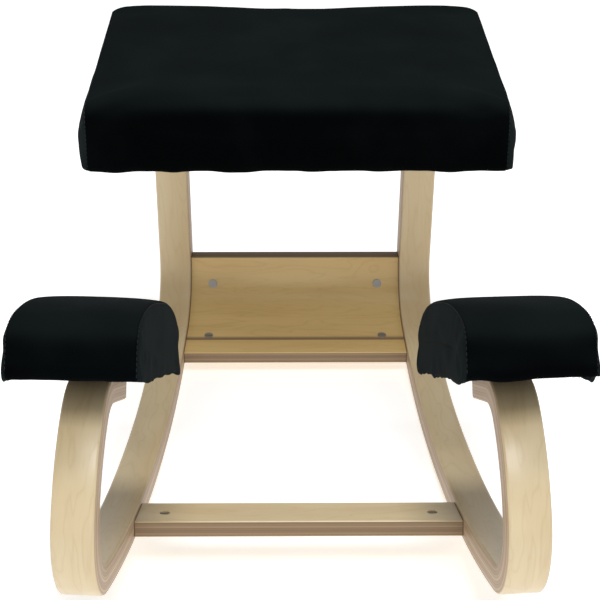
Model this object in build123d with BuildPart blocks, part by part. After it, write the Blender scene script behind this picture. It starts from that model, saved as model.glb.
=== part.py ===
"""Kneeling chair on two bent laminated runners, at rest on a level floor.

Millimetres, +Z up, the sitter faces -Y. The origin is on the floor, in the middle of the
bounding box. Side positions are worked out along each runner's centreline: "ahead" is the
level distance in front of the line where the runner meets the floor, "up" is height.
"""
import os
from math import cos, degrees, radians, sin

from build123d import *

# Runner: section, spread and splay
runner_width = 37.0
runner_thickness = 25.0
runner_edge_radius = 2.5
half_spacing = 138.2
splay_angle = 3.95
contact_y = 89.0

# Runner: centreline, from the floor contact forwards
tail_radius = 620.0
tail_front_angle = 3.3
rocker_radius = 1140.0
rocker_angle = 19.1
front_bend_radius = 56.0
front_bend_angle = 96.7
knee_arm_radius = 150.0
knee_arm_angle = 35.0
knee_top_radius = 50.0
knee_slope = 27.5
knee_arm_length = 62.0

# Runner: centreline, from the floor contact backwards
tail_back_angle = 14.4
rear_bend_radius = 77.5
rear_bend_angle = 80.2
post_length = 132.0
top_bend_radius = 75.0
seat_slope = 0.7
seat_arm_length = 100.0

# Cross members
brace_thickness = 16.0
brace_tail = 41.0
brace_top_angle = 77.5
brace_edge_radius = 1.0
crossbar_past_tail = 210.0
crossbar_depth = 50.0
crossbar_thickness = 16.0
crossbar_sink = 4.0
crossbar_edge_radius = 1.5

# Joint fittings of the cross members
nut_radius = 5.0
nut_length = 13.0
nut_bore_radius = 3.05
nut_slot_width = 1.6
nut_slot_depth = 1.2
nut_setback = 26.0
nut_sink = 0.6
fit_gap = 0.1
bolt_radius = 3.0
bolt_head_radius = 6.5
bolt_head_length = 4.0
bolt_past_nut = 3.0
socket_radius = 2.3
socket_depth = 2.4
upper_nut_angle = 28.7
lower_nut_past_bend = 8.0
dowel_radius = 4.0
dowel_length = 36.0
dowel_offset = 15.0

# Upholstery
seat_width = 430.0
seat_depth = 320.0
seat_height = 76.0
seat_back_overhang = 147.0
seat_corner_radius = 24.0
seat_edge_radius = 20.0
pad_width = 112.0
pad_length = 258.0
pad_height = 64.0
pad_side_height = 24.0
pad_crown = ((0.15, 0.64), (0.56, 1.0), (0.86, 0.75))
pad_edge_radius = 9.0
pad_board_corner = 8.0
pad_front_past_arc = 110.0
cover_thickness = 1.6
cloth_thickness = 0.8
cloth_margin = 14.0
hem_width = 26.0
hem_corner = 10.0
layer_gap = 0.3
board_thickness = 12.0
board_margin = 4.0

# Upholstery fixings
fixing_bolt_radius = 3.0
fixing_hole_radius = 3.4
fixing_head_radius = 7.0
fixing_head_length = 3.5
fixing_head_round = 1.2
washer_radius = 9.0
washer_thickness = 1.2
tee_flange_radius = 9.5
tee_flange_thickness = 1.5
tee_barrel_radius = 3.9
tee_barrel_length = 9.0
tee_bore_radius = 3.05
seat_fixing_steps = (18.0, 80.0)
pad_fixing_steps = (10.0, 46.0)


def walk(point, heading, radius, angle):
    """Follow an arc that turns left by angle (or right if it is negative)."""
    side = 1 if angle > 0 else -1
    ahead, up = point
    begin, end = radians(heading), radians(heading + angle)
    reached = (
        ahead + side * radius * (sin(end) - sin(begin)),
        up - side * radius * (cos(end) - cos(begin)),
    )
    return reached, heading + angle


def step(point, heading, length, side=0.0):
    """Go straight along heading, then side to the left of it."""
    turn = radians(heading)
    return (
        point[0] + length * cos(turn) - side * sin(turn),
        point[1] + length * sin(turn) + side * cos(turn),
    )


def arc_degrees(length, radius):
    """Angle of an arc of a given length."""
    return degrees(length / radius)


# Centreline stations: (ahead, up) and the direction of travel, forwards along the runner
contact = ((0.0, runner_thickness / 2), 0.0)
rocker_start = walk(*contact, tail_radius, tail_front_angle)
bend_start = walk(*rocker_start, rocker_radius, rocker_angle)
bend_end = walk(*bend_start, front_bend_radius, front_bend_angle)
knee_mid = walk(*bend_end, knee_arm_radius, knee_arm_angle)
knee_top_angle = 180 + knee_slope - knee_mid[1]
knee_end = walk(*knee_mid, knee_top_radius, knee_top_angle)

# The same chain backwards, as directions of travel away from the contact
tail_start = (contact[0], 180.0)
tail_end = walk(*tail_start, tail_radius, -tail_back_angle)
post_start = walk(*tail_end, rear_bend_radius, -rear_bend_angle)
post_end = (step(*post_start, post_length), post_start[1])
top_bend_angle = post_end[1] + seat_slope
seat_arm_start = walk(*post_end, top_bend_radius, -top_bend_angle)

splay = radians(splay_angle)
along = Vector(sin(splay), -cos(splay), 0)
outward = Vector(cos(splay), sin(splay), 0)
inward = along.cross(Vector(0, 0, 1))
side_plane = Plane(origin=(half_spacing, contact_y, 0), x_dir=along, z_dir=inward)
mid_plane = Plane(origin=(0, contact_y, 0), x_dir=(0, -1, 0), z_dir=(-1, 0, 0))


def on_side(point, across=0.0):
    """World position of a station on the right runner, across from its inner face."""
    return side_plane.from_local_coords((point[0], point[1], -across))


def level(point):
    """A station seen square on from the side, where the splay shortens the way ahead."""
    return (point[0] * cos(splay), point[1])


def side_frame(point, heading, across):
    """Plane on the right runner with x along heading and z to the left of it."""
    turn = radians(heading)
    x_dir = along * cos(turn) + Vector(0, 0, sin(turn))
    z_dir = along * -sin(turn) + Vector(0, 0, cos(turn))
    return Plane(origin=on_side(point, across), x_dir=x_dir, z_dir=z_dir)


def mid_frame(point, heading):
    """Plane on the middle of the chair with x along heading and z to the left of it."""
    turn = radians(heading)
    ahead, up = level(point)
    origin = (0, contact_y - ahead, up)
    return Plane(origin=origin, x_dir=(0, -cos(turn), sin(turn)), z_dir=(0, sin(turn), cos(turn)))


# Frames on the two upholstered places, z away from the wood
seat_frame = mid_frame(step(*seat_arm_start, 0, runner_thickness / 2), seat_arm_start[1])
knee_foot = step(*knee_end, 0, -runner_thickness / 2)
knee_frame = side_frame(knee_foot, knee_end[1] - 180, runner_width / 2)

# Stations of the cross members, all with the hollow side of the runner to the left
brace_tail_angle = arc_degrees(brace_tail, tail_radius)
lower_nut_angle = arc_degrees(lower_nut_past_bend, tail_radius)
brace_low = walk(*tail_start, tail_radius, brace_tail_angle - tail_back_angle)
crossbar_station = walk(*rocker_start, rocker_radius, arc_degrees(crossbar_past_tail, rocker_radius))
upper_nut = walk(*tail_end, rear_bend_radius, upper_nut_angle - rear_bend_angle)
lower_nut = walk(*tail_start, tail_radius, lower_nut_angle - tail_back_angle)
brace_joints = [
    side_frame(point, heading - 180, -nut_setback) for point, heading in (upper_nut, lower_nut)
]
crossbar_joint = side_frame(*crossbar_station, -nut_setback)
brace_face = brace_thickness / 2
crossbar_face = runner_thickness / 2 - crossbar_sink
crossbar_frame = mid_frame(*crossbar_station)
left_plane = Plane(
    origin=(-half_spacing, contact_y, 0),
    x_dir=(-along.X, along.Y, 0),
    z_dir=(-inward.X, inward.Y, 0),
)
cross_joints = [(frame, brace_face) for frame in brace_joints] + [(crossbar_joint, crossbar_face)]


def moved_frame(frame, reach):
    """The same plane, slid along its own x."""
    return Plane(origin=frame.from_local_coords((reach, 0, 0)), x_dir=frame.x_dir, z_dir=frame.z_dir)


arm_top = step(*seat_arm_start, 0, runner_thickness / 2)
arm_frame = side_frame(arm_top, seat_arm_start[1], runner_width / 2)
seat_fixings = [moved_frame(arm_frame, reach) for reach in seat_fixing_steps]
knee_fixings = [moved_frame(knee_frame, -reach) for reach in pad_fixing_steps]


def rod(frame, radius, start, end, mode=Mode.ADD):
    """Round bar along the frame's z, from start to end."""
    with BuildSketch(frame.offset(start)) as disc:
        Circle(radius)
    extrude(disc.sketch, amount=end - start, mode=mode)


def bolt_frame(frame, face):
    """Plane on a cross joint's bolt axis, z out through the runner from the nut's middle."""
    height = face - nut_sink - nut_length / 2
    return Plane(origin=frame.from_local_coords((0, 0, height)), x_dir=frame.x_dir, z_dir=frame.y_dir)


def other_side(frame):
    """The same plane on the left of the chair."""
    flip = [Vector(-v.X, v.Y, v.Z) for v in (frame.origin, frame.x_dir, frame.z_dir)]
    return Plane(origin=flip[0], x_dir=flip[1], z_dir=flip[2])


dowel_axis = moved_frame(bolt_frame(crossbar_joint, crossbar_face), -dowel_offset)


def offset_arc(point, heading, radius, angle, side):
    """Three level points on an arc that keeps to one side of a walked arc."""
    stops = [(point, heading), walk(point, heading, radius, angle / 2), walk(point, heading, radius, angle)]
    return [level(step(stop, turned, 0, side)) for stop, turned in stops]


def between_runners():
    """Trim the ends of a cross member to the inner faces of both runners."""
    split(bisect_by=side_plane, keep=Keep.TOP)
    split(bisect_by=left_plane, keep=Keep.TOP)


def both_sides(part):
    """Add a right-hand solid and its mirror image."""
    add(part)
    add(mirror(part, about=Plane.YZ, mode=Mode.PRIVATE))


# Runners: one continuous bent lamination each
with BuildPart() as runner_right:
    with BuildLine(side_plane) as centreline:
        seat_arm = Line(step(*seat_arm_start, seat_arm_length), seat_arm_start[0])
        top = JernArc(seat_arm @ 1, seat_arm % 1, top_bend_radius, top_bend_angle)
        post = Line(top @ 1, top @ 1 + post_length * (top % 1))
        rear = JernArc(post @ 1, post % 1, rear_bend_radius, rear_bend_angle)
        tail = JernArc(rear @ 1, rear % 1, tail_radius, tail_back_angle + tail_front_angle)
        rocker = JernArc(tail @ 1, tail % 1, rocker_radius, rocker_angle)
        front = JernArc(rocker @ 1, rocker % 1, front_bend_radius, front_bend_angle)
        rise = JernArc(front @ 1, front % 1, knee_arm_radius, knee_arm_angle)
        crest = JernArc(rise @ 1, rise % 1, knee_top_radius, knee_top_angle)
        knee_arm = Line(crest @ 1, crest @ 1 + knee_arm_length * (crest % 1))
    start = side_frame(step(*seat_arm_start, seat_arm_length), seat_arm_start[1], runner_width / 2)
    section = Plane(origin=start.origin, x_dir=start.y_dir, z_dir=-start.x_dir)
    path = centreline.line.moved(Location(outward * runner_width / 2))
    with BuildSketch(section):
        RectangleRounded(runner_width, runner_thickness, runner_edge_radius)
    sweep(path=path)
    for frame, face in cross_joints:
        axis = bolt_frame(frame, face)
        head_end = nut_setback + runner_width
        head_seat = head_end - bolt_head_length - fit_gap
        rod(axis, fixing_hole_radius, nut_setback, head_end, mode=Mode.SUBTRACT)
        rod(axis, bolt_head_radius + fit_gap, head_seat, head_end, mode=Mode.SUBTRACT)
    dowel_end = nut_setback + dowel_length / 2
    rod(dowel_axis, dowel_radius + fit_gap, nut_setback, dowel_end, mode=Mode.SUBTRACT)
    for frame in seat_fixings + knee_fixings:
        rod(frame, fixing_hole_radius, -runner_thickness, 0, mode=Mode.SUBTRACT)
runner_right.part.label = "runner_right"

with BuildPart() as runner_left:
    mirror(runner_right.part, about=Plane.YZ)
runner_left.part.label = "runner_left"


def cut_joint(frame, face):
    """Nut pocket and bolt hole at both ends of a cross member."""
    axis = bolt_frame(frame, face)
    for pocket, hole in ((frame, axis), (other_side(frame), other_side(axis))):
        bottom = face - nut_sink - nut_length - fit_gap
        rod(pocket, nut_radius + fit_gap, bottom, face + nut_length, mode=Mode.SUBTRACT)
        reach = -nut_radius - bolt_past_nut - fit_gap
        rod(hole, fixing_hole_radius, reach, nut_setback, mode=Mode.SUBTRACT)


# Cross members
with BuildPart() as back_brace:
    with BuildSketch(mid_plane):
        with BuildLine():
            tail = (*brace_low, tail_radius, -brace_tail_angle)
            bend = (*tail_end, rear_bend_radius, -brace_top_angle)
            inner_tail = ThreePointArc(*offset_arc(*tail, -brace_face))
            inner_bend = ThreePointArc(*offset_arc(*bend, -brace_face))
            outer_tail = ThreePointArc(*offset_arc(*tail, brace_face))
            outer_bend = ThreePointArc(*offset_arc(*bend, brace_face))
            Line(inner_bend @ 1, outer_bend @ 1)
            Line(inner_tail @ 0, outer_tail @ 0)
        make_face()
    extrude(amount=half_spacing + runner_width, both=True)
    long_edges = back_brace.edges().filter_by(Axis.X)
    fillet(long_edges.group_by(Axis.Z)[0] + long_edges.group_by(Axis.Z)[-1], brace_edge_radius)
    between_runners()
    for frame in brace_joints:
        cut_joint(frame, brace_face)
back_brace.part.label = "back_brace"

with BuildPart() as front_crossbar:
    with BuildSketch(crossbar_frame.offset(crossbar_face - crossbar_thickness)):
        Rectangle(crossbar_depth, 2 * half_spacing + runner_width)
    extrude(amount=crossbar_thickness)
    fillet(front_crossbar.edges().filter_by(Axis.X), crossbar_edge_radius)
    between_runners()
    cut_joint(crossbar_joint, crossbar_face)
    for axis in (dowel_axis, other_side(dowel_axis)):
        dowel_start = nut_setback - dowel_length / 2
        rod(axis, dowel_radius + fit_gap, dowel_start, nut_setback, mode=Mode.SUBTRACT)
front_crossbar.part.label = "front_crossbar"


def nut(frame, face):
    """Slotted barrel nut for one cross joint."""
    top = face - nut_sink
    with BuildPart() as piece:
        rod(frame, nut_radius, top - nut_length, top)
        rod(bolt_frame(frame, face), nut_bore_radius, -nut_radius, nut_radius, mode=Mode.SUBTRACT)
        with BuildSketch(frame.offset(top - nut_slot_depth)) as slot:
            Rectangle(nut_slot_width, nut_length)
        extrude(slot.sketch, amount=nut_slot_depth, mode=Mode.SUBTRACT)
    return piece.part


def joint_bolt(frame, face):
    """Flat-headed socket bolt for one cross joint, let into the runner's outer face."""
    axis = bolt_frame(frame, face)
    head_end = nut_setback + runner_width - fit_gap
    with BuildPart() as piece:
        rod(axis, bolt_radius, -nut_radius - bolt_past_nut, head_end - bolt_head_length)
        rod(axis, bolt_head_radius, head_end - bolt_head_length, head_end)
        with BuildSketch(axis.offset(head_end - socket_depth)) as socket:
            RegularPolygon(socket_radius, 6)
        extrude(socket.sketch, amount=socket_depth, mode=Mode.SUBTRACT)
    return piece.part


def fixing_bolt(frame):
    """Bolt up through a runner arm into the board above it."""
    seat_z = -runner_thickness - washer_thickness
    tip = cloth_thickness + cover_thickness + layer_gap + board_thickness - tee_flange_thickness
    with BuildPart() as piece:
        rod(frame, fixing_bolt_radius, seat_z, tip)
        rod(frame, fixing_head_radius, seat_z - fixing_head_length, seat_z)
        crown = piece.faces().sort_by(Axis(frame.origin, frame.z_dir))[0]
        fillet(crown.edges(), fixing_head_round)
        with BuildSketch(frame.offset(seat_z - fixing_head_length)) as socket:
            RegularPolygon(socket_radius, 6)
        extrude(socket.sketch, amount=socket_depth, mode=Mode.SUBTRACT)
    return piece.part


def washer(frame):
    """Plain washer under a fixing bolt's head."""
    low = -runner_thickness - washer_thickness
    with BuildPart() as piece:
        rod(frame, washer_radius, low, -runner_thickness)
        rod(frame, fixing_hole_radius, low, -runner_thickness, mode=Mode.SUBTRACT)
    return piece.part


def tee_nut(frame):
    """Flanged threaded insert let into the upper side of a board."""
    flange_bottom = board_top - tee_flange_thickness
    with BuildPart() as piece:
        rod(frame, tee_flange_radius, flange_bottom, board_top)
        rod(frame, tee_barrel_radius, flange_bottom - tee_barrel_length, board_top)
        rod(frame, tee_bore_radius, 0, board_top, mode=Mode.SUBTRACT)
    return piece.part


def cut_board(frames):
    """Holes for the threaded inserts in a board."""
    recess = board_top - tee_flange_thickness
    for frame in frames:
        rod(frame, tee_barrel_radius + fit_gap, 0, board_top, mode=Mode.SUBTRACT)
        rod(frame, tee_flange_radius + fit_gap, recess, board_top, mode=Mode.SUBTRACT)


def slab(frame, middle, size, corner, low, high):
    """Rounded rectangle, thickened between two heights of a frame."""
    with BuildSketch(frame.offset(low)) as outline:
        with Locations((middle, 0)):
            RectangleRounded(*size, corner)
    extrude(outline.sketch, amount=high - low)


# Upholstery heights above the wood: underside cloth, cover's hem, board, foam
hem_bottom = cloth_thickness
board_bottom = hem_bottom + cover_thickness + layer_gap
board_top = board_bottom + board_thickness
foam_bottom = board_top + layer_gap
seat_middle = seat_depth / 2 - seat_back_overhang
pad_middle = pad_front_past_arc - pad_length / 2


def seat_block(inset, low):
    """The seat's outer form, or the same form inset, down to a height."""
    size = (seat_depth - 2 * inset, seat_width - 2 * inset)
    with BuildPart() as block:
        slab(seat_frame, seat_middle, size, seat_corner_radius - inset, low, seat_height - inset)
        top_face = block.faces().sort_by(Axis(seat_frame.origin, seat_frame.z_dir))[-1]
        fillet(top_face.edges(), seat_edge_radius - inset)
    return block.part


def pad_block(inset, low):
    """A knee pad's outer form, or the same form inset, down to a height."""
    side = Plane(
        origin=knee_frame.from_local_coords((0, inset - pad_width / 2, 0)),
        x_dir=knee_frame.x_dir,
        z_dir=knee_frame.y_dir,
    )
    up = 1 if side.y_dir.dot(knee_frame.z_dir) > 0 else -1
    back = pad_front_past_arc - pad_length + inset
    front = pad_front_past_arc - inset
    length, height = front - back, pad_height - inset
    crown = [(back + length * share, up * height * rise) for share, rise in pad_crown]
    foot = pad_side_height - inset
    with BuildPart() as block:
        with BuildSketch(side) as outline:
            with BuildLine():
                Line((back, up * low), (back, up * foot))
                Spline((back, up * foot), *crown, (front, up * foot), tangents=((0, up), (0, -up)))
                Line((front, up * foot), (front, up * low))
                Line((front, up * low), (back, up * low))
            make_face()
        extrude(outline.sketch, amount=pad_width - 2 * inset)
        ends = block.faces().sort_by(Axis(side.origin, side.z_dir))
        base = block.faces().sort_by(Axis(knee_frame.origin, knee_frame.z_dir))[0].edges()
        rim = [edge for face in (ends[0], ends[-1]) for edge in face.edges()]
        fillet([edge for edge in rim if edge not in base], pad_edge_radius - inset)
    return block.part


def cover(outer, inner, frame, middle, size, fixings):
    """Fabric cover: a shell round the stuffing with a hem turned under the board."""
    with BuildPart() as shell:
        add(outer)
        add(inner, mode=Mode.SUBTRACT)
        with BuildSketch(frame.offset(hem_bottom)) as opening:
            with Locations((middle, 0)):
                RectangleRounded(size[0] - 2 * hem_width, size[1] - 2 * hem_width, hem_corner)
        extrude(opening.sketch, amount=cover_thickness + layer_gap, mode=Mode.SUBTRACT)
        for fixing in fixings:
            rod(fixing, fixing_hole_radius, 0, board_bottom, mode=Mode.SUBTRACT)
    return shell.part


def underside_cloth(frame, middle, size, fixings):
    """Thin cloth that closes the underside, with holes for the bolts."""
    with BuildPart() as sheet:
        inner = (size[0] - 2 * cloth_margin, size[1] - 2 * cloth_margin)
        slab(frame, middle, inner, hem_corner, 0, cloth_thickness)
        for fixing in fixings:
            rod(fixing, fixing_hole_radius, -cloth_thickness, board_bottom, mode=Mode.SUBTRACT)
    return sheet.part


def board(frame, middle, size, corner, fixings):
    """Plywood board with holes for its threaded inserts."""
    inset = cover_thickness + board_margin
    with BuildPart() as panel:
        inner = (size[0] - 2 * inset, size[1] - 2 * inset)
        slab(frame, middle, inner, corner, board_bottom, board_top)
        cut_board(fixings)
    return panel.part


seat_size = (seat_depth, seat_width)
pad_size = (pad_length, pad_width)
both_seat_fixings = seat_fixings + [other_side(frame) for frame in seat_fixings]
foam_inset = cover_thickness + layer_gap

with BuildPart() as seat_board:
    board_corner = seat_corner_radius - cover_thickness
    add(board(seat_frame, seat_middle, seat_size, board_corner, both_seat_fixings))
seat_board.part.label = "seat_board"

with BuildPart() as seat_foam:
    add(seat_block(foam_inset, foam_bottom))
seat_foam.part.label = "seat_foam"

with BuildPart() as seat_cover:
    inner = seat_block(cover_thickness, board_bottom - layer_gap)
    add(cover(seat_block(0, hem_bottom), inner, seat_frame, seat_middle, seat_size, both_seat_fixings))
seat_cover.part.label = "seat_cover"

with BuildPart() as seat_underside_cloth:
    add(underside_cloth(seat_frame, seat_middle, seat_size, both_seat_fixings))
seat_underside_cloth.part.label = "seat_underside_cloth"

with BuildPart() as right_knee_board:
    add(board(knee_frame, pad_middle, pad_size, pad_board_corner, knee_fixings))
right_knee_board.part.label = "right_knee_board"

with BuildPart() as right_knee_foam:
    add(pad_block(foam_inset, foam_bottom))
right_knee_foam.part.label = "right_knee_foam"

with BuildPart() as right_knee_cover:
    inner = pad_block(cover_thickness, board_bottom - layer_gap)
    add(cover(pad_block(0, hem_bottom), inner, knee_frame, pad_middle, pad_size, knee_fixings))
right_knee_cover.part.label = "right_knee_cover"

with BuildPart() as right_knee_cloth:
    add(underside_cloth(knee_frame, pad_middle, pad_size, knee_fixings))
right_knee_cloth.part.label = "right_knee_cloth"

with BuildPart() as left_knee_board:
    mirror(right_knee_board.part, about=Plane.YZ)
left_knee_board.part.label = "left_knee_board"

with BuildPart() as left_knee_foam:
    mirror(right_knee_foam.part, about=Plane.YZ)
left_knee_foam.part.label = "left_knee_foam"

with BuildPart() as left_knee_cover:
    mirror(right_knee_cover.part, about=Plane.YZ)
left_knee_cover.part.label = "left_knee_cover"

with BuildPart() as left_knee_cloth:
    mirror(right_knee_cloth.part, about=Plane.YZ)
left_knee_cloth.part.label = "left_knee_cloth"

# Fasteners, alike ones together
with BuildPart() as brace_barrel_nuts:
    for frame in brace_joints:
        both_sides(nut(frame, brace_face))
brace_barrel_nuts.part.label = "brace_barrel_nuts"

with BuildPart() as brace_bolts:
    for frame in brace_joints:
        both_sides(joint_bolt(frame, brace_face))
brace_bolts.part.label = "brace_bolts"

with BuildPart() as crossbar_barrel_nuts:
    both_sides(nut(crossbar_joint, crossbar_face))
crossbar_barrel_nuts.part.label = "crossbar_barrel_nuts"

with BuildPart() as crossbar_bolts:
    both_sides(joint_bolt(crossbar_joint, crossbar_face))
crossbar_bolts.part.label = "crossbar_bolts"

with BuildPart() as crossbar_dowels:
    dowel_reach = dowel_length / 2 - fit_gap
    rod(dowel_axis, dowel_radius, nut_setback - dowel_reach, nut_setback + dowel_reach)
    mirror(about=Plane.YZ)
crossbar_dowels.part.label = "crossbar_dowels"

with BuildPart() as seat_bolts:
    for frame in seat_fixings:
        both_sides(fixing_bolt(frame))
seat_bolts.part.label = "seat_bolts"

with BuildPart() as seat_washers:
    for frame in seat_fixings:
        both_sides(washer(frame))
seat_washers.part.label = "seat_washers"

with BuildPart() as seat_tee_nuts:
    for frame in seat_fixings:
        both_sides(tee_nut(frame))
seat_tee_nuts.part.label = "seat_tee_nuts"

with BuildPart() as knee_bolts:
    for frame in knee_fixings:
        both_sides(fixing_bolt(frame))
knee_bolts.part.label = "knee_bolts"

with BuildPart() as knee_washers:
    for frame in knee_fixings:
        both_sides(washer(frame))
knee_washers.part.label = "knee_washers"

with BuildPart() as knee_tee_nuts:
    for frame in knee_fixings:
        both_sides(tee_nut(frame))
knee_tee_nuts.part.label = "knee_tee_nuts"

os.makedirs("parts", exist_ok=True)
export_step(runner_right.part, "parts/runner_right.step")
export_step(runner_left.part, "parts/runner_left.step")
export_step(back_brace.part, "parts/back_brace.step")
export_step(front_crossbar.part, "parts/front_crossbar.step")
export_step(brace_barrel_nuts.part, "parts/brace_barrel_nuts.step")
export_step(brace_bolts.part, "parts/brace_bolts.step")
export_step(crossbar_barrel_nuts.part, "parts/crossbar_barrel_nuts.step")
export_step(crossbar_bolts.part, "parts/crossbar_bolts.step")
export_step(crossbar_dowels.part, "parts/crossbar_dowels.step")
export_step(seat_board.part, "parts/seat_board.step")
export_step(seat_foam.part, "parts/seat_foam.step")
export_step(seat_cover.part, "parts/seat_cover.step")
export_step(seat_underside_cloth.part, "parts/seat_underside_cloth.step")
export_step(seat_bolts.part, "parts/seat_bolts.step")
export_step(seat_washers.part, "parts/seat_washers.step")
export_step(seat_tee_nuts.part, "parts/seat_tee_nuts.step")
export_step(right_knee_board.part, "parts/right_knee_board.step")
export_step(right_knee_foam.part, "parts/right_knee_foam.step")
export_step(right_knee_cover.part, "parts/right_knee_cover.step")
export_step(right_knee_cloth.part, "parts/right_knee_cloth.step")
export_step(left_knee_board.part, "parts/left_knee_board.step")
export_step(left_knee_foam.part, "parts/left_knee_foam.step")
export_step(left_knee_cover.part, "parts/left_knee_cover.step")
export_step(left_knee_cloth.part, "parts/left_knee_cloth.step")
export_step(knee_bolts.part, "parts/knee_bolts.step")
export_step(knee_washers.part, "parts/knee_washers.step")
export_step(knee_tee_nuts.part, "parts/knee_tee_nuts.step")
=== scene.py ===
# %% [markdown]
# # A kneeling chair that rocks on two bent runners
# The chair is two long strips of laminated birch, each bent into a runner that is rocker, post,
# seat arm and knee arm in one. A curved brace and a low crossbar hold the runners apart, and a
# seat and two knee rests, padded and covered in black velour, are bolted on top.
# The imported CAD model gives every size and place. This file gives the looks: it sweeps the
# runners again so that the grain can follow the bends, sews the cushions, and finishes the rest.

# %% Load the frame
from math import atan2, cos, radians, sin

import bmesh
import bpy
import numpy as np
from mathutils import Matrix, Vector, noise


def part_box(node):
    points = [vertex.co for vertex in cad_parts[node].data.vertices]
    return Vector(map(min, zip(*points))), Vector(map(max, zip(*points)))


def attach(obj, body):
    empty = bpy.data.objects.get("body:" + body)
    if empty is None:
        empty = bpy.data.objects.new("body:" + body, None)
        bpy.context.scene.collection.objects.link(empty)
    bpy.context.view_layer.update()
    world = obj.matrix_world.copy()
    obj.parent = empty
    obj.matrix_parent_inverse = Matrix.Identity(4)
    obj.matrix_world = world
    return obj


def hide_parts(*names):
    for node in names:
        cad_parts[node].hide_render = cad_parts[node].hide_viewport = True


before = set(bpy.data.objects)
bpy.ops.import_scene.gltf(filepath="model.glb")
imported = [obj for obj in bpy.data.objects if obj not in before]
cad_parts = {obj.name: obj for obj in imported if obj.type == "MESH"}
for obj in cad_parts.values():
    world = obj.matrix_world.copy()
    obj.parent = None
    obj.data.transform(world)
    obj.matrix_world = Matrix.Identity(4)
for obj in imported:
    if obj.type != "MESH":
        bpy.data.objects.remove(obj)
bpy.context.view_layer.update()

# %% [markdown]
# ## Shader arithmetic
# A finish is easier to read as a formula than as a web of nodes. Wire holds one socket: adding,
# multiplying or comparing wires adds Math nodes, and `node` adds any other node.


# %% Wires for shader and geometry nodes
class Wire:
    """A socket in a node tree that can be used in arithmetic."""

    def __init__(self, tree, socket=None):
        self.tree, self.socket = tree, socket

    def node(self, kind, settings=None, inputs=None, output=0):
        """Add a node: settings first, then the values or links of its sockets."""
        made = self.tree.nodes.new(kind)
        for name, value in (settings or {}).items():
            setattr(made, name, value)
        for key, value in (inputs or {}).items():
            if isinstance(value, Wire):
                self.tree.links.new(value.socket, made.inputs[key])
            else:
                made.inputs[key].default_value = value
        return Wire(self.tree, made.outputs[output])

    def math(self, operation, *values):
        return self.node("ShaderNodeMath", {"operation": operation}, dict(enumerate((self, *values))))

    def __add__(self, other):
        return self.math("ADD", other)

    def __sub__(self, other):
        return self.math("SUBTRACT", other)

    def __rsub__(self, other):
        return (self * -1.0).math("ADD", other)

    def __mul__(self, other):
        return self.math("MULTIPLY", other)

    def __pow__(self, other):
        return self.math("POWER", other)

    def __abs__(self):
        return self.math("ABSOLUTE")

    def step_up(self, low, high):
        """0 below low, 1 above high, and a soft step between."""
        settings = {"interpolation_type": "SMOOTHSTEP"}
        return self.node("ShaderNodeMapRange", settings, {0: self, 1: low, 2: high})

    def parts(self):
        """The three numbers of a vector."""
        return [self.node("ShaderNodeSeparateXYZ", {}, {0: self}, index) for index in range(3)]

    def mix(self, low, high):
        """Colour low where this is 0 and colour high where it is 1."""
        return self.node("ShaderNodeMix", {"data_type": "RGBA"}, {0: self, 6: low, 7: high}, 2)

    def bump(self, strength, distance):
        """A normal tilted by this height, which is distance metres deep."""
        inputs = {"Strength": strength, "Distance": distance, "Height": self}
        return self.node("ShaderNodeBump", {}, inputs)


def noise_at(x, y, z, detail=2.0, distortion=0.0):
    """Noise at a point whose three numbers are already in noise lengths."""
    tree = next(value for value in (x, y, z) if isinstance(value, Wire))
    vector = tree.node("ShaderNodeCombineXYZ", {}, {0: x, 1: y, 2: z})
    inputs = {"Vector": vector, "Scale": 1.0, "Detail": detail, "Distortion": distortion}
    return tree.node("ShaderNodeTexNoise", {}, inputs)


def new_finish(name, **constants):
    """A material, a blank wire in its tree, and a way to plug wires into its shader."""
    material = bpy.data.materials.new(name)
    material.use_nodes = True
    shader = material.node_tree.nodes["Principled BSDF"]
    for key, value in constants.items():
        shader.inputs[key.replace("_", " ")].default_value = value
    start = Wire(material.node_tree)

    def plug(**wires):
        for key, wire in wires.items():
            start.tree.links.new(wire.socket, shader.inputs[key.replace("_", " ")])

    return material, start, plug


def object_place(start):
    """The point's own place on the object, in metres."""
    return start.node("ShaderNodeTexCoord", {}, {}, "Object").parts()


print("shader helpers ready")

# %% [markdown]
# ## The runner's line
# Seen from the side, a runner is a chain of straight stretches and arcs that leave each other
# without a corner. Walking the chain from the floor contact, once forwards and once backwards,
# gives every station on it. "ahead" is the way to the front and "up" is height.

# %% Sizes of the runner
runner_width = 0.037
runner_thickness = 0.025
runner_edge = 0.0025
half_spacing = 0.1382
splay = radians(3.95)
contact_y = 0.089
tail_radius = 0.620
forward_arcs = [
    (tail_radius, 3.3),
    (1.140, 19.1),
    (0.056, 96.7),
    (0.150, 35.0),
    (0.050, 53.4),
]
backward_arcs = [(tail_radius, -14.4), (0.0775, -80.2)]
post_length = 0.132
top_bend_radius = 0.075
seat_slope = 0.7
seat_arm_length = 0.100
knee_arm_length = 0.062
sweep_step = 0.003
print("two runners,", runner_width, "m wide and", runner_thickness, "m thick")


def walk(point, heading, radius, angle):
    """The end of an arc that turns left by angle, or right if it is negative."""
    side = 1 if angle > 0 else -1
    start, end = radians(heading), radians(heading + angle)
    ahead = point[0] + side * radius * (sin(end) - sin(start))
    up = point[1] - side * radius * (cos(end) - cos(start))
    return (ahead, up), heading + angle


def step(point, heading, length, side=0.0):
    """Straight on along heading, then side to the left of it."""
    turn = radians(heading)
    return (
        point[0] + length * cos(turn) - side * sin(turn),
        point[1] + length * sin(turn) + side * cos(turn),
    )


def arc_points(station, radius, angle):
    """Points along an arc, a sweep step apart, and the station at its end."""
    count = max(2, round(radius * radians(abs(angle)) / sweep_step))
    points = [walk(*station, radius, angle * (index + 1) / count)[0] for index in range(count)]
    return points, walk(*station, radius, angle)


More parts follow.
